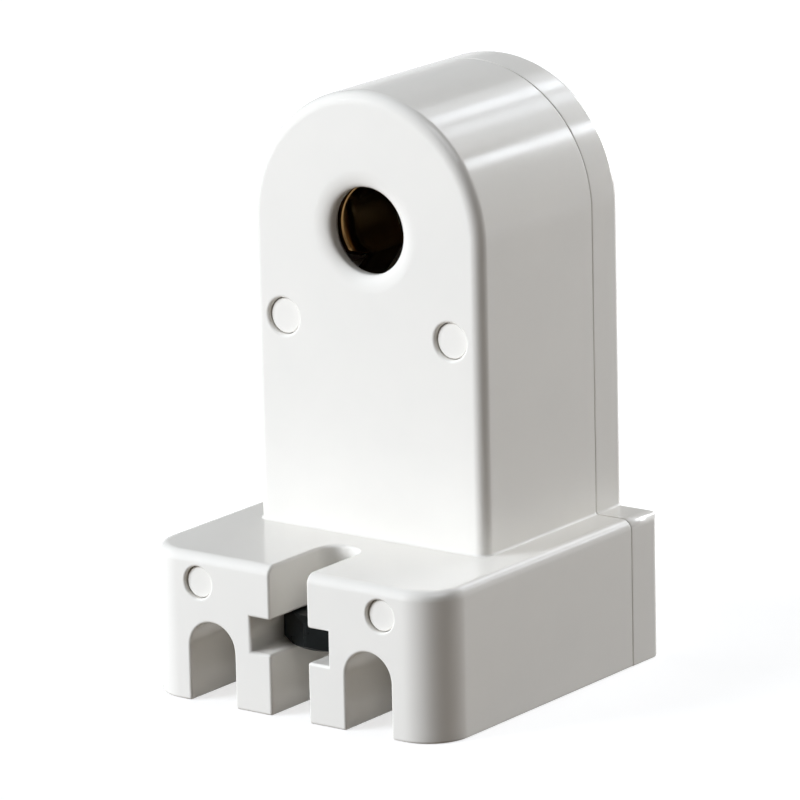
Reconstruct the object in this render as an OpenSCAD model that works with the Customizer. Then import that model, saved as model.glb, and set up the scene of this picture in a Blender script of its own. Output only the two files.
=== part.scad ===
/* [Base] */
// Width of the base across its sides
base_w = 34.4; // [33:0.2:40]
// Depth from the front face to the back of the cover
base_d = 35.6; // [34.6:0.2:42]
// Height of the base block
base_h = 14.4; // [14:0.1:17]
// Radius of the base's upright front corners
base_corner_r = 4.2; // [2.5:0.1:4.6]
// Radius along the top edges of the base and the rear edges of the cover
edge_r = 1; // [0.5:0.1:1.3]

/* [Tower] */
// Width of the tower, whose head is a half circle across it
tower_w = 26.4; // [25.4:0.2:28]
// Distance from the front face of the base back to the front face of the tower
setback = 13; // [12.9:0.1:14]
// Height of the lamp pin's axis above the mounting surface
pin_height = 43.7; // [41:0.1:52]
// Radius around the front face of the tower
tower_edge_r = 1.2; // [0.6:0.1:1.6]

/* [Walls] */
// Thickness of the side, top and bottom walls
wall = 2; // [1.6:0.1:2.2]
// Thickness of the tower's front wall, which holds the pin hole
front_wall = 1.8; // [1.6:0.1:2.4]
// Thickness of the walls and ribs inside
rib_t = 1.2; // [0.9:0.1:1.5]
// Thickness of the rear cover from its seam to its back
cover_t = 4.6; // [4:0.1:5.4]
// Gap between pieces that slide into each other
fit_gap = 0.1; // [0.06:0.01:0.15]

/* [Lamp pin hole] */
// Radius of the hole that guides the lamp pin
pin_hole_r = 4.15; // [4.1:0.05:4.5]
// Width of the rounded mouth around the pin hole
pin_mouth_w = 1.8; // [1.2:0.1:2.2]
// Depth of the rounded mouth of the pin hole
pin_mouth_d = 0.7; // [0.5:0.1:0.9]

/* [Mounting slot] */
// Width of the open slot for the mounting screw
slot_w = 4.3; // [4.2:0.1:4.8]
// Distance from the front face back to the mounting screw's axis
screw_depth = 7.5; // [7:0.1:7.6]
// Height of the floor that the nut lies on
nut_floor_z = 5.9; // [5.2:0.1:6.6]
// Width of the hexagonal nut across its flats
nut_flats = 8.73; // [8:0.01:8.8]
// Thickness of the nut
nut_t = 3.18; // [2.8:0.01:3.3]
// Radius of the nut's threaded hole
nut_hole_r = 1.73; // [1.5:0.01:1.9]

/* [Wire channels] */
// Distance between the centres of the two arched wire channels
channel_pitch = 18; // [17.6:0.1:18.4]
// Width of each arched wire channel
channel_w = 5.2; // [4.6:0.1:5.4]
// Height of each arched wire channel
channel_h = 7.9; // [7:0.1:8.1]
// Depth of the room behind the wire channels, up to the cover's seam
chamber_d = 9; // [8:0.1:10]
// Radius of the entry hole for a bare lead
wire_hole_r = 1.3; // [1:0.05:1.4]
// Height of the lead's axis
wire_z = 4.4; // [4.2:0.1:4.6]

/* [Cover posts] */
// Radius of the upper posts
upper_post_r = 1.7; // [1.5:0.05:1.9]
// Radius of the lower posts
lower_post_r = 1.5; // [1.4:0.05:1.7]
// Distance from the tower's side to an upper post's axis
upper_post_in = 3.6; // [3.3:0.1:3.8]
// Distance from the pin's axis down to the upper posts
upper_post_drop = 9.2; // [8.6:0.1:10]
// Distance of the lower posts from the middle plane
lower_post_x = 10.5; // [10.3:0.1:10.7]
// Distance from the base's top down to the lower posts
lower_post_drop = 2.8; // [2.7:0.1:2.9]
// Gap around each post, which is pressed into its boss
post_gap = 0.05; // [0.03:0.01:0.1]
// Depth of each post's end below the front face around it
post_recess = 0.4; // [0.3:0.1:0.9]

/* [Contacts] */
// Thickness of the contact strip
strip_t = 0.5; // [0.4:0.05:0.6]
// Inner radius of the contact jaws before the pin spreads them
jaw_r = 3.8; // [3.6:0.05:3.9]
// Length of the contact jaws along the pin
jaw_len = 8; // [6:0.2:9]
// Distance of each contact leg from the middle plane
leg_x = 5.2; // [5:0.1:5.4]
// Width of each contact leg along the pin
leg_w = 5; // [4.6:0.1:5.4]
// Thickness of the spring that grips the lead
grip_t = 0.4; // [0.3:0.05:0.5]
// Diameter of the bare lead
lead_d = 1; // [0.8:0.1:1.2]

/* [Hidden] */
$fn = 64;
over = 0.5;

seam = base_d - cover_t;
tower_r = tower_w / 2;
hollow_front = setback + front_wall;
chamber_front = seam - chamber_d;
channel_d = chamber_front - wall;
chamber_w = base_w - 2 * wall;
chamber_top = base_h - wall;
shelf_z = channel_h + wall + rib_t;
channel_x = channel_pitch / 2;
upper_post = [tower_r - upper_post_in, pin_height - upper_post_drop];
lower_post = [lower_post_x, base_h - lower_post_drop];
boss_wall = 1.2;

nut_corner_r = nut_flats / sqrt(3);
nut_gap = 0.12;
nut_slot_w = nut_flats + 2 * nut_gap;
nut_slot_h = nut_t + nut_gap;
nut_slot_d = screw_depth + nut_corner_r + nut_gap;

jaw_front = hollow_front + 0.5;
jaw_back = jaw_front + jaw_len;
jaw_low = -50;
jaw_high = 62;
leg_low_z = wall + fit_gap;
leg_turn_z = lower_post[1] - lower_post_r - boss_wall - 0.6;
leg_turn_h = 1.2;
foot_rib_z = leg_turn_z - leg_turn_h - strip_t - 0.05;
grip_top_z = foot_rib_z - 0.5;
lead_leg_x = channel_x + lead_d / 2 + 0.1;
entry_gap = 0.7;
foot_front = chamber_front + entry_gap;
foot_back = seam - 1.8;
riser_front = jaw_front + 2.2;
riser_back = riser_front + leg_w;
anchor_z = shelf_z + 1.5;
anchor_h = 5;
guide_low_z = anchor_z + anchor_h + 1.5;
guide_high_z = upper_post[1] - upper_post_r - boss_wall - 1;
grip_rib_x = channel_x - 2.4;
core_front = nut_slot_d + wall;
core_w = channel_pitch - channel_w - 2 * wall;

// Every piece is drawn from the front face of the base and then centred
module centred() {
    translate([0, -base_d / 2, 0]) children();
}

// Turns a drawing of width and height into a solid that runs from y0 to y1
module run_y(y0, y1) {
    translate([0, y1, 0]) rotate([90, 0, 0]) linear_extrude(y1 - y0) children();
}

// Turns a drawing of depth and height into a solid that runs from x0 to x1
module run_x(x0, x1) {
    translate([x0, 0, 0]) rotate([90, 0, 90]) linear_extrude(x1 - x0) children();
}

module both_sides() {
    children();
    mirror([1, 0, 0]) children();
}

// A rectangle from [x0, y0] to [x1, y1]
module span(x0, y0, x1, y1) {
    translate([x0, y0]) square([x1 - x0, y1 - y0]);
}

// A rectangle whose two upper corners are rounded
module round_topped(x0, y0, x1, y1, r) {
    span(x0, y0, x1, y1 - r);
    span(x0 + r, y1 - r - over, x1 - r, y1);
    for (x = [x0 + r, x1 - r]) translate([x, y1 - r]) circle(r);
}

// The base block: its top edge is rounded along the sides and around the front corners
module base_block() {
    half_w = base_w / 2;
    r = base_corner_r;
    run_y(r, seam) round_topped(-half_w, 0, half_w, base_h, edge_r);
    run_x(r - half_w, half_w - r) union() {
        span(edge_r, 0, seam, base_h);
        span(0, 0, seam, base_h - edge_r);
        translate([edge_r, base_h - edge_r]) circle(edge_r);
    }
    both_sides() translate([half_w - r, r, 0]) rotate_extrude() union() {
        span(0, 0, r, base_h - edge_r);
        span(0, 0, r - edge_r, base_h);
        translate([r - edge_r, base_h - edge_r]) intersection() {
            circle(edge_r);
            span(-over, 0, edge_r, edge_r);
        }
    }
}

// The tower: a slab with rounded front edges under a turned head with the same edge
module tower() {
    e = tower_edge_r;
    linear_extrude(pin_height) union() {
        span(-tower_r, setback + e, tower_r, seam);
        span(e - tower_r, setback, tower_r - e, seam);
        for (x = [e - tower_r, tower_r - e]) translate([x, setback + e]) circle(e);
    }
    translate([0, 0, pin_height]) rotate([-90, 0, 0]) rotate_extrude() union() {
        span(0, setback, tower_r - e, seam);
        span(0, setback + e, tower_r, seam);
        translate([tower_r - e, setback + e]) intersection() {
            circle(e);
            span(-over, -e, e, over);
        }
    }
}

// Outline of the tower seen from the front, drawn in by the given amount
module tower_outline(inset, from_z) {
    translate([0, pin_height]) circle(tower_r - inset);
    span(inset - tower_r, from_z, tower_r - inset, pin_height);
}

// Outline of the rear opening, drawn in by the given amount
module hollow_outline(inset) {
    tower_outline(wall + inset, wall + inset);
    span(inset - chamber_w / 2, wall + inset, chamber_w / 2 - inset, chamber_top - inset);
}

// The slot for the screw, and the wider slot across it that holds the nut
module mounting_slot() {
    translate([0, 0, -over]) linear_extrude(base_h + 2 * over) union() {
        span(-slot_w / 2, -over, slot_w / 2, screw_depth);
        translate([0, screw_depth]) circle(slot_w / 2);
    }
    translate([0, 0, nut_floor_z]) linear_extrude(nut_slot_h)
        span(-nut_slot_w / 2, -over, nut_slot_w / 2, nut_slot_d);
}

module wire_channel() {
    arch_r = channel_w / 2;
    translate([channel_x, 0, 0]) run_y(-over, channel_d) union() {
        translate([0, channel_h - arch_r]) circle(arch_r);
        span(-arch_r, -over, arch_r, channel_h - arch_r);
    }
}

// A cutter along the lead's axis: the entry hole with a funnel at its mouth
module wire_entry() {
    funnel = 0.5;
    translate([channel_x, channel_d, wire_z]) rotate([-90, 0, 0]) {
        translate([0, 0, -over]) cylinder(r = wire_hole_r, h = wall + 2 * over);
        cylinder(r1 = wire_hole_r + funnel, r2 = wire_hole_r, h = funnel);
    }
}

// A cutter along the lamp pin's axis, with a rounded mouth
module pin_hole() {
    ahead = setback - over;
    rim = [for (a = [0:7.5:90])
        [pin_hole_r + pin_mouth_w * (1 - cos(a)), setback + pin_mouth_d * (1 - sin(a))]];
    translate([0, 0, pin_height]) rotate([-90, 0, 0]) rotate_extrude() {
        span(0, ahead, pin_hole_r, hollow_front + 2);
        polygon(concat([[0, setback + pin_mouth_d]], rim, [[pin_hole_r + pin_mouth_w, ahead], [0, ahead]]));
    }
}

module post_at(place, r, y0, y1) {
    translate([place[0], y0, place[1]]) rotate([-90, 0, 0]) cylinder(r = r, h = y1 - y0);
}

// A grooved rib that a contact leg's edge stands in: the groove runs from y0 to y1
module leg_guide(rib_y0, rib_y1, y0, y1) {
    slot = strip_t + 2 * fit_gap;
    difference() {
        run_y(rib_y0, rib_y1)
            span(leg_x - slot / 2 - rib_t, guide_low_z, leg_x + slot / 2 + rib_t, guide_high_z);
        run_y(y0, y1) span(leg_x - slot / 2, guide_low_z - over, leg_x + slot / 2, guide_high_z + over);
    }
}

module front_housing() {
    color("white") centred() difference() {
        union() {
            difference() {
                union() {
                    base_block();
                    tower();
                }
                run_y(hollow_front, seam + over) tower_outline(wall, shelf_z);
                run_y(chamber_front, seam + over) hollow_outline(0);
                run_y(core_front, chamber_front + over) span(-core_w / 2, wall, core_w / 2, shelf_z + over);
            }
            // Bosses around the cover's posts
            both_sides() intersection() {
                union() {
                    post_at(upper_post, upper_post_r + boss_wall, setback + wall / 2, seam - 2);
                    post_at(lower_post, lower_post_r + boss_wall, chamber_front - over, seam - 2);
                }
                union() {
                    run_y(setback + wall / 2, seam) tower_outline(wall / 2, shelf_z);
                    run_y(chamber_front - over, seam)
                        span(-base_w / 2 + wall / 2, wall / 2, base_w / 2 - wall / 2, base_h - wall / 2);
                }
            }
            // Wall between the two contacts
            run_y(hollow_front - over, seam - 2) span(-rib_t / 2, shelf_z - over, rib_t / 2,
                                                      pin_height - jaw_r - strip_t - 2);
            run_y(core_front - over, seam - 2) span(-rib_t / 2, wall / 2, rib_t / 2, shelf_z + over);
            both_sides() {
                leg_guide(hollow_front - over, riser_front + 2, riser_front - fit_gap, riser_front + 2 + over);
                // Ribs that back the lead's gripping spring and the contact's foot
                for (x = [grip_rib_x - rib_t, lead_leg_x + strip_t + fit_gap])
                    run_y(foot_front, foot_back) span(x, wall / 2, x + rib_t, foot_rib_z);
            }
        }
        pin_hole();
        mounting_slot();
        both_sides() {
            wire_channel();
            wire_entry();
            post_at(upper_post, upper_post_r + post_gap, setback - over, seam);
            post_at(lower_post, lower_post_r + post_gap, -over, seam);
        }
    }
}

// The tower's part of the cover, with its rear edge rounded
module cover_head() {
    back = base_d;
    e = edge_r;
    linear_extrude(pin_height) union() {
        span(-tower_r, seam, tower_r, back - e);
        span(e - tower_r, seam, tower_r - e, back);
        for (x = [e - tower_r, tower_r - e]) translate([x, back - e]) circle(e);
    }
    translate([0, 0, pin_height]) rotate([-90, 0, 0]) rotate_extrude() union() {
        span(0, seam, tower_r - e, back);
        span(0, seam, tower_r, back - e);
        translate([tower_r - e, back - e]) intersection() {
            circle(e);
            span(-over, -over, e, e);
        }
    }
}

// The base's part of the cover: three rounded outlines crossed with each other
module cover_foot() {
    half_w = base_w / 2;
    intersection() {
        run_y(seam, base_d) round_topped(-half_w, 0, half_w, base_h, edge_r);
        linear_extrude(base_h) round_topped(-half_w, seam - 2, half_w, base_d, edge_r);
        run_x(-half_w, half_w) union() {
            span(seam, 0, base_d, base_h - edge_r);
            span(seam, 0, base_d - edge_r, base_h);
            translate([base_d - edge_r, base_h - edge_r]) circle(edge_r);
        }
    }
}

// Rim that locates the cover inside the housing
module cover_rim() {
    rim_t = 1;
    rim_h = 1.6;
    run_y(seam - rim_h, seam + over) difference() {
        hollow_outline(fit_gap);
        hollow_outline(fit_gap + rim_t);
    }
}

module back_cover() {
    color("white") centred() {
        difference() {
            union() {
                cover_head();
                cover_foot();
            }
            run_y(seam - over, base_d - wall) hollow_outline(1);
        }
        cover_rim();
        both_sides() {
            post_at(upper_post, upper_post_r, setback + post_recess, base_d - wall / 2);
            post_at(lower_post, lower_post_r, post_recess, base_d - wall / 2);
            leg_guide(riser_back - 1, base_d - wall / 2, riser_back - 1 - over, riser_back + fit_gap);
            // Pad that keeps the gripping spring forward
            run_y(foot_back + fit_gap, base_d - wall / 2)
                span(grip_rib_x - rib_t, wall + fit_gap, grip_rib_x + 1, grip_top_z);
        }
    }
}

// A strip of metal bent along the points of a path, seen edge on
module bent_strip(path, t) {
    for (i = [0:len(path) - 2]) {
        d = path[i + 1] - path[i];
        translate(path[i]) rotate(atan2(d[1], d[0])) translate([0, -t / 2]) square([norm(d), t]);
    }
    for (i = [1:len(path) - 2]) translate(path[i]) circle(t / 2);
}

// Ring sector of the contact jaw around the pin's axis
module jaw_arc() {
    reach = 2 * jaw_r;
    difference() {
        circle(jaw_r + strip_t);
        circle(jaw_r);
        polygon([[0, 0], reach * [cos(jaw_low), sin(jaw_low)], [0, -2 * reach], [-2 * reach, 0],
                 [0, 2 * reach], reach * [cos(jaw_high), sin(jaw_high)]]);
    }
}

// The contact seen from the front: jaw, leg, and foot beside the lead
module contact_bend() {
    mid_r = jaw_r + strip_t / 2;
    jaw_end = [mid_r * cos(jaw_low), pin_height + mid_r * sin(jaw_low)];
    translate([0, pin_height]) jaw_arc();
    bent_strip([jaw_end, [leg_x, jaw_end[1] - 3.5], [leg_x, leg_turn_z],
                [lead_leg_x + strip_t / 2, leg_turn_z - leg_turn_h],
                [lead_leg_x + strip_t / 2, leg_low_z]], strip_t);
}

// The same contact's blank seen from the side
module contact_blank() {
    jaw_foot_z = pin_height + jaw_r * sin(jaw_low);
    span(jaw_front, jaw_foot_z, jaw_back, pin_height + tower_r);
    span(riser_front, anchor_z, riser_back, jaw_foot_z + over);
    span(riser_front, anchor_z, foot_back, anchor_z + anchor_h);
    span(foot_front, 0, foot_back, anchor_z + over);
}

module contact() {
    color("goldenrod") centred() intersection() {
        run_y(setback, base_d) contact_bend();
        run_x(0, base_w) contact_blank();
    }
}

module right_contact() {
    contact();
}

module left_contact() {
    mirror([1, 0, 0]) contact();
}

// The spring that lets a lead in and jams it, seen from above
module lead_grip() {
    back_x = grip_rib_x + grip_t / 2 + fit_gap / 2;
    bend_y = foot_front + grip_t / 2;
    bend_w = 2.2 * grip_t;
    reach = foot_back - bend_y;
    low_z = wall + fit_gap;
    color("silver") centred() translate([0, 0, low_z]) linear_extrude(grip_top_z - low_z)
        bent_strip([[back_x, foot_back], [back_x, bend_y + reach * 0.1], [back_x + bend_w, bend_y],
                    [channel_x + lead_d * 0.35, bend_y + reach * 0.6]], grip_t);
}

module right_lead_grip() {
    lead_grip();
}

module left_lead_grip() {
    mirror([1, 0, 0]) lead_grip();
}

// Hexagonal nut, its corners bevelled where a cone crosses them
module mounting_nut() {
    face_r = nut_flats / 2 - 0.25;
    rim_r = nut_corner_r + 0.1;
    rise = (rim_r - face_r) * tan(30);
    color("dimgray") centred() translate([0, screw_depth, nut_floor_z]) difference() {
        intersection() {
            rotate(30) cylinder(r = nut_corner_r, h = nut_t, $fn = 6);
            rotate_extrude() polygon([[0, 0], [face_r, 0], [rim_r, rise],
                                      [rim_r, nut_t - rise], [face_r, nut_t], [0, nut_t]]);
        }
        translate([0, 0, -over]) cylinder(r = nut_hole_r, h = nut_t + 2 * over);
    }
}

front_housing();
back_cover();
left_contact();
right_contact();
left_lead_grip();
right_lead_grip();
mounting_nut();
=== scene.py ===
import math

import bmesh
import bpy
import numpy as np
from mathutils import Matrix, Vector


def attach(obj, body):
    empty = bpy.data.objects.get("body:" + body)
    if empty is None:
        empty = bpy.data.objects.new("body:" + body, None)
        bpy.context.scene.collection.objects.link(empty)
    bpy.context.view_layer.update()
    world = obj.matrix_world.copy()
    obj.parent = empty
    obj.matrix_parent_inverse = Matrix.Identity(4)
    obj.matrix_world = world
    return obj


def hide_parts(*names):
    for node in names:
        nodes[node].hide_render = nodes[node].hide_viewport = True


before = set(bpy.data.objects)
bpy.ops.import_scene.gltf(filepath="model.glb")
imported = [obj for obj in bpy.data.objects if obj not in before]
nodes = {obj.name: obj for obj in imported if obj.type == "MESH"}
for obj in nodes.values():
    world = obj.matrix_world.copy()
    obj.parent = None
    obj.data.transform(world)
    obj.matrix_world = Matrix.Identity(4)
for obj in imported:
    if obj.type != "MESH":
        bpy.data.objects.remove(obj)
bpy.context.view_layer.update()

mm = 0.001
frontToOrigin = 17.8      # mm from the base's front face back to the origin
print("frame loaded:", len(nodes), "nodes")


# material nodes
def addNode(tree, kind, **settings):
    node = tree.nodes.new(kind)
    for key, value in settings.items():
        setattr(node, key, value)
    return node


def link(tree, source, target):
    tree.links.new(source, target)


def newMaterial(name):
    mat = bpy.data.materials.new(name)
    mat.use_nodes = True
    tree = mat.node_tree
    return mat, tree, tree.nodes["Principled BSDF"]


# Broad clouds and fine grain on Object coordinates, for any finish. Stretch draws both out along an axis.
def makeGrainGroup():
    group = bpy.data.node_groups.new("surfaceGrain", "ShaderNodeTree")
    face = group.interface
    face.new_socket(name="Cloud Scale", in_out="INPUT", socket_type="NodeSocketFloat").default_value = 150
    face.new_socket(name="Grain Scale", in_out="INPUT", socket_type="NodeSocketFloat").default_value = 2500
    face.new_socket(name="Stretch", in_out="INPUT", socket_type="NodeSocketVector").default_value = (1, 1, 1)
    face.new_socket(name="Clouds", in_out="OUTPUT", socket_type="NodeSocketFloat")
    face.new_socket(name="Grain", in_out="OUTPUT", socket_type="NodeSocketFloat")
    into = addNode(group, "NodeGroupInput")
    out = addNode(group, "NodeGroupOutput")
    place = addNode(group, "ShaderNodeTexCoord")
    drawn = addNode(group, "ShaderNodeVectorMath", operation="MULTIPLY")
    link(group, place.outputs["Object"], drawn.inputs[0])
    link(group, into.outputs["Stretch"], drawn.inputs[1])
    for kind, detail in (("Cloud", 3.0), ("Grain", 2.0)):
        noise = addNode(group, "ShaderNodeTexNoise")
        noise.inputs["Detail"].default_value = detail
        noise.inputs["Roughness"].default_value = 0.5
        link(group, drawn.outputs["Vector"], noise.inputs["Vector"])
        link(group, into.outputs[kind + " Scale"], noise.inputs["Scale"])
        link(group, noise.outputs["Fac"], out.inputs["Clouds" if kind == "Cloud" else "Grain"])
    return group


grainGroup = makeGrainGroup()


def remap(tree, source, low, high, fromLow=0.3, fromHigh=0.7):
    node = addNode(tree, "ShaderNodeMapRange")
    node.inputs["From Min"].default_value = fromLow
    node.inputs["From Max"].default_value = fromHigh
    node.inputs["To Min"].default_value = low
    node.inputs["To Max"].default_value = high
    link(tree, source, node.inputs["Value"])
    return node.outputs["Result"]


# One finish: two tones mixed by the clouds, a roughness range from clouds and grain, and a fine bump.
def makeFinish(name, look):
    mat, tree, shader = newMaterial(name)
    grain = addNode(tree, "ShaderNodeGroup", node_tree=grainGroup)
    grain.inputs["Cloud Scale"].default_value = look["cloudScale"]
    grain.inputs["Grain Scale"].default_value = look["grainScale"]
    grain.inputs["Stretch"].default_value = look["stretch"]
    tone = addNode(tree, "ShaderNodeMix", data_type="RGBA")
    tone.inputs[6].default_value = (*look["tone"], 1)
    tone.inputs[7].default_value = (*look["otherTone"], 1)
    link(tree, remap(tree, grain.outputs["Clouds"], 0, 1), tone.inputs[0])
    link(tree, tone.outputs[2], shader.inputs["Base Color"])
    both = addNode(tree, "ShaderNodeMath", operation="MULTIPLY_ADD")
    both.inputs[1].default_value = look["grainInRoughness"]
    link(tree, grain.outputs["Grain"], both.inputs[0])
    link(tree, remap(tree, grain.outputs["Clouds"], *look["roughness"]), both.inputs[2])
    link(tree, both.outputs[0], shader.inputs["Roughness"])
    bump = addNode(tree, "ShaderNodeBump")
    bump.inputs["Strength"].default_value = look["bump"]
    bump.inputs["Distance"].default_value = look["bumpDepth"]
    link(tree, grain.outputs["Grain"], bump.inputs["Height"])
    link(tree, bump.outputs["Normal"], shader.inputs["Normal"])
    shader.inputs["Metallic"].default_value = look["metallic"]
    shader.inputs["IOR"].default_value = look.get("ior", 1.5)
    return mat


finishes = {
    "whiteMoulding": {"tone": (0.89, 0.86, 0.805), "otherTone": (0.87, 0.842, 0.79), "cloudScale": 140,
                      "grainScale": 2200, "stretch": (1, 1, 1), "roughness": (0.12, 0.16),
                      "grainInRoughness": 0.04, "bump": 0.25, "bumpDepth": 0.006 * mm, "metallic": 0.0,
                      "ior": 1.52},
    # contactBronze tones are darker than clean bronze: partly the contact's tarnish, partly painted shade that makes
    # the inside of the pin hole read near black
    "contactBronze": {"tone": (0.32, 0.19, 0.075), "otherTone": (0.2, 0.115, 0.045), "cloudScale": 300,
                      "grainScale": 6000, "stretch": (1, 0.06, 1), "roughness": (0.1, 0.2),
                      "grainInRoughness": 0.05, "bump": 0.4, "bumpDepth": 0.008 * mm, "metallic": 1.0},
    "springSteel": {"tone": (0.58, 0.58, 0.57), "otherTone": (0.45, 0.45, 0.44), "cloudScale": 350,
                    "grainScale": 6000, "stretch": (1, 1, 0.06), "roughness": (0.2, 0.34),
                    "grainInRoughness": 0.12, "bump": 0.4, "bumpDepth": 0.008 * mm, "metallic": 1.0},
    "blackSteel": {"tone": (0.004, 0.0055, 0.0055), "otherTone": (0.008, 0.01, 0.0105), "cloudScale": 420,
                   "grainScale": 3500, "stretch": (1, 1, 1), "roughness": (0.2, 0.34),
                   "grainInRoughness": 0.15, "bump": 0.5, "bumpDepth": 0.012 * mm, "metallic": 0.0,
                   "ior": 1.22},
}
mats = {name: makeFinish(name, look) for name, look in finishes.items()}
print("finishes made:", ", ".join(mats))


# moulded pieces: the CAD shape with its visible edges rounded
edgeLook = {
    "width": 0.28 * mm,       # rounding of the moulded edges
    "segments": 3,
    "creaseAngle": 28.0,      # degrees across an edge from which it counts as sharp
    "softBehind": 33.0,       # mm from the front, from which shading runs smoothly across corners
    "seamShare": 0.55,        # share of the width that each edge of the seam gets
    "lowPipShare": 0.85,      # of the mouth round each lower post's end
    "highPipShare": 1.2,      # of the mouth round each upper post's end
    "holeShare": 1.9,         # of the pin hole's inner edge
    "tipShare": 0.4,          # of the post's own end
    "footShare": 0.9,         # of the fillet where the tower meets the base
}


def meshArray(items, key, kind=int):
    values = np.empty(len(items) * (3 if kind is float else 1), kind)
    items.foreach_get(key, values)
    return values.reshape(-1, 3) if kind is float else values


# For each edge: its middle in mm from the base's front face, the angle between its two faces, and whether it is
# convex. The first face's normal crossed with its own way along the edge points into that face, which lies behind
# the other face where the edge is convex.
def edgeFacts(mesh):
    places, normal = meshArray(mesh.vertices, "co", float) / mm, meshArray(mesh.polygons, "normal", float)
    total, corner = meshArray(mesh.polygons, "loop_total"), meshArray(mesh.loops, "vertex_index")
    start = np.cumsum(total) - total
    face = np.repeat(np.arange(len(total)), total)
    after = np.arange(len(corner)) + 1
    after[start + total - 1] = start
    along = places[corner[after]] - places[corner]
    loops = np.argsort(meshArray(mesh.loops, "edge_index"), kind="stable").reshape(-1, 2)
    first, second = normal[face[loops[:, 0]]], normal[face[loops[:, 1]]]
    across = np.degrees(np.arccos(np.clip((first * second).sum(1), -1, 1)))
    convex = (second * np.cross(first, along[loops[:, 0]])).sum(1) < 0
    middle = (places[corner[loops[:, 0]]] + places[corner[after[loops[:, 0]]]]) / 2
    return middle + (0, frontToOrigin, 0), across, convex


def markEdges(mesh, name, kind, values):
    layer = mesh.attributes.get(name) or mesh.attributes.new(name, kind, "EDGE")
    layer.data.foreach_set("value", values)


def smoothFaces(piece, sharp):
    mesh = piece.data
    markEdges(mesh, "sharp_edge", "BOOLEAN", sharp)
    mesh.polygons.foreach_set("use_smooth", np.ones(len(mesh.polygons), bool))
    normals = piece.modifiers.new("normals", "WEIGHTED_NORMAL")
    normals.keep_sharp = True


def addPiece(name, mesh, finish, stands):
    piece = bpy.data.objects.new(name, mesh)
    bpy.context.scene.collection.objects.link(piece)
    mesh.materials.clear()
    mesh.materials.append(mats[finish])
    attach(piece, "root")
    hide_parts(stands)
    return piece


# A copy of a CAD node's mesh with its loose triangles merged and its flat faces made whole.
def mergedMesh(nodeName, meshName):
    mesh = nodes[nodeName].data.copy()
    mesh.name = meshName
    build = bmesh.new()
    build.from_mesh(mesh)
    bmesh.ops.remove_doubles(build, verts=build.verts, dist=0.002 * mm)
    bmesh.ops.dissolve_limit(build, angle_limit=math.radians(0.4), verts=build.verts, edges=build.edges)
    build.to_mesh(mesh)
    build.free()
    return mesh


# The node's shape with each edge rounded by the share of the width that shareOf gives it.
def mouldedPiece(name, nodeName, shareOf):
    piece = addPiece(name, mergedMesh(nodeName, name), "whiteMoulding", nodeName)
    middle, across, convex = edgeFacts(piece.data)
    side, depth, height = np.abs(middle[:, 0]), middle[:, 1], middle[:, 2]
    share = shareOf(side, depth, height, convex) * (across > edgeLook["creaseAngle"])
    markEdges(piece.data, "bevel_weight_edge", "FLOAT", np.minimum(share / 2, 1).astype(np.float32))
    bevel = piece.modifiers.new("bevel", "BEVEL")
    bevel.width = edgeLook["width"] * 2
    bevel.segments = edgeLook["segments"]
    bevel.limit_method = "WEIGHT"
    bevel.use_clamp_overlap = False
    bevel.loop_slide = False
    bevel.miter_outer = "MITER_ARC"
    smoothFaces(piece, (across > edgeLook["creaseAngle"]) & (share == 0) & (depth < edgeLook["softBehind"]))
    return piece


# On the outline of the tower or the base, seen from the front.
def isOutside(side, height):
    return (side > 13.1) | (height < 0.02) | ((np.hypot(side, height - 43.7) > 13.1) & (height > 43.7))


# lowPip and highPip are the mouths of the holes that show the cover's posts
def housingShare(side, depth, height, convex):
    seam = (depth > 30.98) & convex & isOutside(side, height)
    ahead = (depth < 13.9) & convex
    foot = (np.abs(height - 14.4) < 0.02) & ~convex & (depth > 12.9)
    lowPip = (np.abs(np.hypot(side - 10.5, height - 11.6) - 1.55) < 0.12) & (depth < 5) & convex
    highPip = (np.abs(np.hypot(side - 9.6, height - 34.5) - 1.75) < 0.12) & (depth < 13.5) & convex
    share = np.where(ahead | ((height < 0.02) & convex), 1.0, 0.0)
    share[seam] = edgeLook["seamShare"]
    share[foot] = edgeLook["footShare"]
    share[lowPip] = edgeLook["lowPipShare"]
    share[highPip] = edgeLook["highPipShare"]
    share[(np.abs(np.hypot(side, height - 43.7) - 4.15) < 0.05) & (np.abs(depth - 14.8) < 0.02)] = edgeLook["holeShare"]
    return share


def coverShare(side, depth, height, convex):
    outside = isOutside(side, height)
    share = np.where((depth < 14) & convex, edgeLook["tipShare"], 0.0)
    share[(height < 0.02) & convex] = 0.8
    share[(np.abs(height - 14.4) < 0.02) & ~convex & outside] = edgeLook["footShare"]
    share[(np.abs(depth - 31) < 0.02) & convex & outside] = edgeLook["seamShare"]
    return share


housing = mouldedPiece("housing", "front_housing", housingShare)
cover = mouldedPiece("cover", "back_cover", coverShare)
print("moulded pieces made")


# metal pieces: surfaces worked out on grids
# A closed surface from a grid of points in mm: rows run along the piece, columns go round it, and each cell
# is one face. Its two ends are one face each, or where capped is false the last row joins the first.
def wrapMesh(name, grid, capped):
    rows, cols = grid.shape[:2]
    index = np.arange(rows * cols).reshape(rows, cols)
    here, there = (index[:-1], index[1:]) if capped else (index, np.roll(index, -1, axis=0))
    quads = np.stack([here, np.roll(here, -1, 1), np.roll(there, -1, 1), there], -1).reshape(-1, 4)
    points = grid.reshape(-1, 3)
    # six times the volume between the faces and the middle: negative where the faces look inwards
    a, b, c, d = (points[quads[:, k]] - points.mean(0) for k in range(4))
    volume = (a * np.cross(b, c)).sum() + (a * np.cross(c, d)).sum()
    faces = quads.tolist()
    if capped:
        faces += [index[0, ::-1].tolist(), index[-1].tolist()]
    if volume < 0:
        faces = [face[::-1] for face in faces]
    mesh = bpy.data.meshes.new(name)
    mesh.from_pydata((points * mm).tolist(), [], faces)
    mesh.update()
    return mesh


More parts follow.
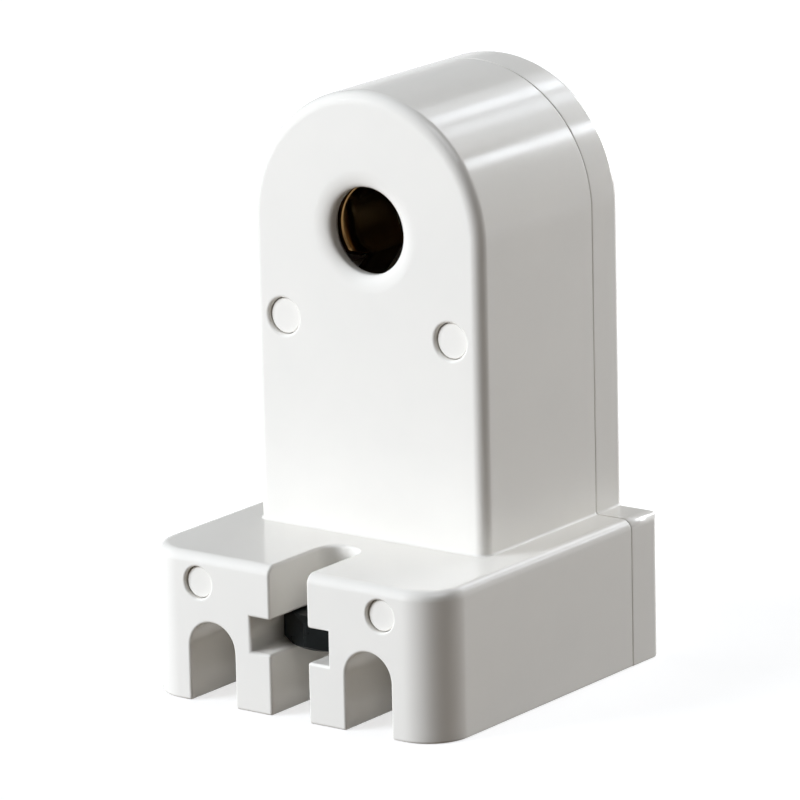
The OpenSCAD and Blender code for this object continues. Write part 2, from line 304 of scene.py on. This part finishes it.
def metalPiece(name, grid, capped, finish, stands, sharpAngle):
    piece = addPiece(name, wrapMesh(name, grid, capped), finish, stands)
    smoothFaces(piece, edgeFacts(piece.data)[1] > sharpAngle)
    return piece


# Straight runs whose corners are rounded by parabolas that start and end one radius away, in even steps.
def bentLine(corners, radius, step):
    corners = np.asarray(corners, float)
    u = np.linspace(0, 1, 9)[:, None]
    line = [corners[:1]]
    for before, corner, after in zip(corners[:-2], corners[1:-1], corners[2:]):
        start, end = (corner + (far - corner) * min(0.5, radius / np.linalg.norm(far - corner))
                      for far in (before, after))
        line.append((1 - u) ** 2 * start + 2 * u * (1 - u) * corner + u ** 2 * end)
    line = np.concatenate(line + [corners[-1:]])
    along = np.r_[0, np.cumsum(np.linalg.norm(np.diff(line, axis=0), axis=1))]
    even = np.linspace(0, along[-1], int(along[-1] / step) + 2)
    return np.stack([np.interp(even, along, line[:, k]) for k in range(2)], 1)


# A metal strip carried along a plane line. low and high say where its two edges lie across that plane, and
# its section is a rectangle with quarter-circle corners. Near the low edge it curls outwards: by flare at
# the edge, falling off with the square of the way in.
def stripGrid(line, low, high, look, flare=0.0):
    thick, r = look["thick"], look["cornerRadius"]
    tangent = np.gradient(line, axis=0)
    tangent /= np.linalg.norm(tangent, axis=1)[:, None]
    outward = np.stack([-tangent[:, 1], tangent[:, 0]], 1)
    turn = np.linspace(0, np.pi / 2, 4)
    part = np.linspace(0, 1, 14)[1:-1]
    flat = thick / 2 - r
    across = np.concatenate([flat + r * np.sin(turn), 0 * part + thick / 2, flat + r * np.cos(turn),
                             -flat - r * np.sin(turn), 0 * part - thick / 2, -flat - r * np.cos(turn)])
    share = np.concatenate([0 * turn + 1, 1 - part, 0 * turn, 0 * turn, part, 0 * turn + 1])
    inset = np.concatenate([-r + r * np.cos(turn), (2 * part - 1) * r, r - r * np.sin(turn),
                            r - r * np.cos(turn), (1 - 2 * part) * r, -r + r * np.sin(turn)])
    width = np.asarray(high)[:, None] * share + np.asarray(low)[:, None] * (1 - share) + inset
    fall = np.clip(1 - (width - np.asarray(low)[:, None]) / look["flareLength"], 0, 1) ** 2
    off = across + np.asarray(flare).reshape(-1, 1) * fall
    return line[:, None, 0] + outward[:, None, 0] * off, line[:, None, 1] + outward[:, None, 1] * off, width


# 0 below zero and 1 above, with a smooth rise over the length.
def softStep(value, length):
    t = np.clip(value / length + 0.5, 0, 1)
    return t * t * (3 - 2 * t)


contactLook = {
    "thick": 0.5, "cornerRadius": 0.1, "pinHeight": 43.7,
    "jawRadius": 4.05, "jawFrom": 62, "jawTo": -50,      # middle of the strip, degrees from the right
    "legSide": 5.2, "footSide": 9.85, "turnTop": 8.3, "turnFoot": 7.1, "lowEnd": 2.1,
    "jawEdges": (15.3, 23.3), "legEdges": (17.5, 22.5), "anchorEdge": 29.2, "footEdge": 22.7,
    "jawFoot": 40.8, "anchorTop": 17.6, "anchorFoot": 12.6, "stepLength": 1.1,
    "flare": 0.45, "flareLength": 1.5,
}


# A jaw round the pin's axis, a leg beside the middle wall and a foot beside the lead, bent from one strip.
def contactGrid(look):
    angle = np.radians(np.linspace(look["jawFrom"], look["jawTo"], 40))
    jaw = np.stack([look["jawRadius"] * np.cos(angle), look["pinHeight"] + look["jawRadius"] * np.sin(angle)], 1)
    legTop = [look["legSide"], jaw[-1, 1] - 3.5]
    leg = bentLine([jaw[-1], legTop, [look["legSide"], look["turnTop"]], [look["footSide"], look["turnFoot"]],
                    [look["footSide"], look["lowEnd"]]], 1.0, 0.3)
    line = np.concatenate([jaw, leg[1:]])
    up = line[:, 1]
    jawLow, jawHigh = look["jawEdges"]
    legLow, legHigh = look["legEdges"]
    belowJaw = softStep(look["jawFoot"] - up, look["stepLength"])
    belowTop = softStep(look["anchorTop"] - up, look["stepLength"])
    belowAnchor = softStep(look["anchorFoot"] - up, look["stepLength"])
    low = jawLow + (legLow - jawLow) * belowJaw + (look["footEdge"] - legLow) * belowAnchor
    high = jawHigh + (legHigh - jawHigh) * belowJaw + (look["anchorEdge"] - legHigh) * belowTop
    x, z, y = stripGrid(line, low, high, look, look["flare"] * (1 - belowJaw))
    return np.stack([x, y - frontToOrigin, z], -1)


gripLook = {
    "thick": 0.4, "cornerRadius": 0.08, "flareLength": 1.0,
    "corners": ((6.85, 29.2), (6.85, 23.53), (7.73, 22.9), (9.35, 26.68)),
    "low": 2.1, "high": 6.05,
}


# A spring bent into a narrow V, seen from above, whose free leg leans on the lead.
def gripGrid(look):
    line = bentLine(look["corners"], 0.45, 0.12)
    x, y, z = stripGrid(line, 0 * line[:, 0] + look["low"], 0 * line[:, 0] + look["high"], look)
    return np.stack([x, y - frontToOrigin, z], -1)


toLeft = np.array([-1, 1, 1])
for sideName, mirror in (("right", 1), ("left", toLeft)):
    metalPiece(sideName + "Jaw", contactGrid(contactLook) * mirror, True, "contactBronze",
               sideName + "_contact", 50)
    metalPiece(sideName + "Grip", gripGrid(gripLook) * mirror, True, "springSteel",
               sideName + "_lead_grip", 50)
print("contacts and lead grips made")

nutLook = {
    "flats": 8.73, "thick": 3.18, "floor": 5.9, "depth": 7.5, "faceRadius": 4.115, "cornerRadius": 4.96,
    "boreRadius": 1.73, "threadDepth": 0.38, "pitch": 0.794, "mouthRadius": 2.2,
}


# A ring: each row is a section at one angle. The outside follows the hexagon, cut by 30 degree cones at top
# and bottom, and the bore is a V thread, whose depth depends on height less the share of a turn.
def nutGrid(look):
    angle = np.linspace(0, 2 * np.pi, 6 * 36, endpoint=False)[:, None]
    fromFlat = (angle + np.pi / 6) % (np.pi / 3) - np.pi / 6
    outer = np.minimum(look["flats"] / 2 / np.cos(fromFlat), look["cornerRadius"])
    rise = (outer - look["faceRadius"]) * math.tan(math.radians(30))
    thick = look["thick"]
    step = np.linspace(0, 1, 5)
    ones = np.ones_like(outer)
    mouth, face = look["mouthRadius"] * ones, look["faceRadius"] * ones
    outside = np.concatenate([mouth, face, outer, outer, face, mouth], 1)
    outsideUp = np.concatenate([0 * ones, 0 * ones, rise, thick - rise, thick * ones, thick * ones], 1)
    up = np.linspace(thick, 0, 66)[None, 1:-1] * ones
    turn = (up / look["pitch"] - angle / (2 * np.pi)) % 1
    ridge = np.clip(1.25 * np.abs(2 * turn - 1) - 0.125, 0, 1)
    bore = look["boreRadius"] + look["threadDepth"] * ridge
    bore = np.maximum(bore, look["mouthRadius"] - np.minimum(up, thick - up))
    radius = np.concatenate([outside, bore], 1)
    height = np.concatenate([outsideUp, up], 1)
    return np.stack([radius * np.cos(angle), radius * np.sin(angle) + look["depth"] - frontToOrigin,
                     height + look["floor"]], -1)


metalPiece("nut", nutGrid(nutLook), False, "blackSteel", "mounting_nut", 22)
print("nut made")

# camera, fitted to the photographed view
cameraFit = {
    "azimuth": 36.57, "elevation": 14.12, "roll": -1.274,
    "distance": 0.62005, "target": (0.0, 0.0002, 0.030),
    "focalPixels": 6633.8, "centrePixel": (398.75, 364.87), "imagePixels": 800.0,
}


def lookBack(azimuth, elevation):
    a, e = math.radians(azimuth), math.radians(elevation)
    return Vector((math.sin(a) * math.cos(e), -math.cos(a) * math.cos(e), math.sin(e)))


def makeCamera(fit):
    back = lookBack(fit["azimuth"], fit["elevation"])
    a, r = math.radians(fit["azimuth"]), math.radians(fit["roll"])
    level = Vector((math.cos(a), math.sin(a), 0.0))
    upright = back.cross(level)
    right = math.cos(r) * level + math.sin(r) * upright
    up = math.cos(r) * upright - math.sin(r) * level
    data = bpy.data.cameras.new("camera")
    data.sensor_width = 36.0
    data.lens = fit["focalPixels"] * data.sensor_width / fit["imagePixels"]
    data.shift_x = 0.5 - fit["centrePixel"][0] / fit["imagePixels"]
    data.shift_y = fit["centrePixel"][1] / fit["imagePixels"] - 0.5
    data.clip_start, data.clip_end = 0.01, 10.0
    camera = bpy.data.objects.new("camera", data)
    turn = Matrix((right, up, back)).transposed().to_4x4()
    camera.matrix_world = Matrix.Translation(Vector(fit["target"]) + back * fit["distance"]) @ turn
    bpy.context.scene.collection.objects.link(camera)
    bpy.context.scene.camera = camera


makeCamera(cameraFit)

# lamps: azimuth, elevation, distance in m, side in m, watts, and whether its shine shows in glossy surfaces
lampLook = {
    "key": (-42, 19, 0.75, 0.4, 7.6, False, "cool"),
    "rightFill": (135, 18, 0.75, 0.4, 1.3, False, "plain"),
    "rear": (168, 12, 0.75, 0.4, 3.9, True, "plain"),
    "rearHigh": (175, 35, 0.75, 0.4, 0.75, True, "plain"),
    "top": (85, 62, 0.75, 0.4, 1.15, True, "plain"),
    "streak": (153, 27, 0.75, 0.06, 0.1, True, "cool"),
    "rearStreak": (171, 36, 0.75, 0.08, 0.06, True, "cool"),
    "coverStreak": (-178, 37, 0.75, 0.07, 0.08, True, "cool"),
}
lampColour = {"cool": (0.95, 1.005, 1.08), "plain": (0.975, 1.005, 1.045)}     # the moulding is a warm white


def makeLamp(name, azimuth, elevation, distance, side, watts, shines, colour):
    back = lookBack(azimuth, elevation)
    data = bpy.data.lights.new(name, "AREA")
    data.size = side
    data.energy = watts
    data.color = lampColour[colour]
    lamp = bpy.data.objects.new(name, data)
    lamp.visible_glossy = shines
    lamp.matrix_world = Matrix.Translation(Vector((0, 0, 0.03)) + back * distance) @ \
        back.to_track_quat("Z", "Y").to_matrix().to_4x4()
    bpy.context.scene.collection.objects.link(lamp)


for name, values in lampLook.items():
    makeLamp(name, *values)

backdropLook = {"lightLevel": 0.0, "seenLevel": 1.0, "ceilingLevel": 0.35, "ceilingStart": 0.22,
                "floorTone": 0.45, "floorBounce": (0.14, 0.1, 0.06), "floorGlow": 0.68}


# 1 where the eye sees the surface itself, in a mirror or through glass, 0 for the light that it throws.
def seenDirectly(tree):
    path = addNode(tree, "ShaderNodeLightPath")
    first = addNode(tree, "ShaderNodeMath", operation="MAXIMUM")
    second = addNode(tree, "ShaderNodeMath", operation="MAXIMUM")
    link(tree, path.outputs["Is Camera Ray"], first.inputs[0])
    link(tree, path.outputs["Is Glossy Ray"], first.inputs[1])
    link(tree, first.outputs[0], second.inputs[0])
    link(tree, path.outputs["Is Transmission Ray"], second.inputs[1])
    return path.outputs["Is Camera Ray"], second.outputs[0]


# The brightness that a reflection shows: white at the horizon, falling to ceilingLevel at the height ceilingStart.
def reflectedLevel(tree, look):
    place = addNode(tree, "ShaderNodeTexCoord")
    parts = addNode(tree, "ShaderNodeSeparateXYZ")
    link(tree, place.outputs["Generated"], parts.inputs[0])
    return remap(tree, parts.outputs["Z"], look["seenLevel"], look["ceilingLevel"], 0.0, look["ceilingStart"])


def makeWorld(look):
    world = bpy.data.worlds.new("studio")
    world.use_nodes = True
    tree = world.node_tree
    tree.nodes.clear()
    out = addNode(tree, "ShaderNodeOutputWorld")
    lit = addNode(tree, "ShaderNodeBackground")
    shown = addNode(tree, "ShaderNodeBackground")
    mirrored = addNode(tree, "ShaderNodeBackground")
    lit.inputs["Color"].default_value = shown.inputs["Color"].default_value = (1, 1, 1, 1)
    mirrored.inputs["Color"].default_value = (1, 1, 1, 1)
    lit.inputs["Strength"].default_value = look["lightLevel"]
    shown.inputs["Strength"].default_value = look["seenLevel"]
    link(tree, reflectedLevel(tree, look), mirrored.inputs["Strength"])
    camera, seen = seenDirectly(tree)
    mix = addNode(tree, "ShaderNodeMixShader")
    last = addNode(tree, "ShaderNodeMixShader")
    link(tree, seen, mix.inputs["Fac"])
    link(tree, lit.outputs[0], mix.inputs[1])
    link(tree, mirrored.outputs[0], mix.inputs[2])
    link(tree, camera, last.inputs["Fac"])
    link(tree, mix.outputs[0], last.inputs[1])
    link(tree, shown.outputs[0], last.inputs[2])
    link(tree, last.outputs[0], out.inputs["Surface"])
    bpy.context.scene.world = world


def makeFloor(look):
    mesh = bpy.data.meshes.new("floor")
    half = 3.0
    mesh.from_pydata([(-half, -half, 0), (half, -half, 0), (half, half, 0), (-half, half, 0)], [], [(0, 1, 2, 3)])
    floor = bpy.data.objects.new("floor", mesh)
    bpy.context.scene.collection.objects.link(floor)
    mat, tree, shader = newMaterial("paleFloor")
    seen = seenDirectly(tree)[1]
    tone = addNode(tree, "ShaderNodeMix", data_type="RGBA")
    tone.inputs[6].default_value = (*look["floorBounce"], 1)
    tone.inputs[7].default_value = (look["floorTone"],) * 3 + (1,)
    link(tree, seen, tone.inputs[0])
    link(tree, tone.outputs[2], shader.inputs["Base Color"])
    shader.inputs["Roughness"].default_value = 0.9
    shader.inputs["Emission Color"].default_value = (1, 1, 1, 1)
    glow = addNode(tree, "ShaderNodeMath", operation="MULTIPLY")
    glow.inputs[1].default_value = look["floorGlow"]
    link(tree, seen, glow.inputs[0])
    link(tree, glow.outputs[0], shader.inputs["Emission Strength"])
    mesh.materials.append(mat)


makeWorld(backdropLook)
makeFloor(backdropLook)
bpy.context.scene.view_settings.view_transform = "Standard"
print("camera, lamps, backdrop and floor made")
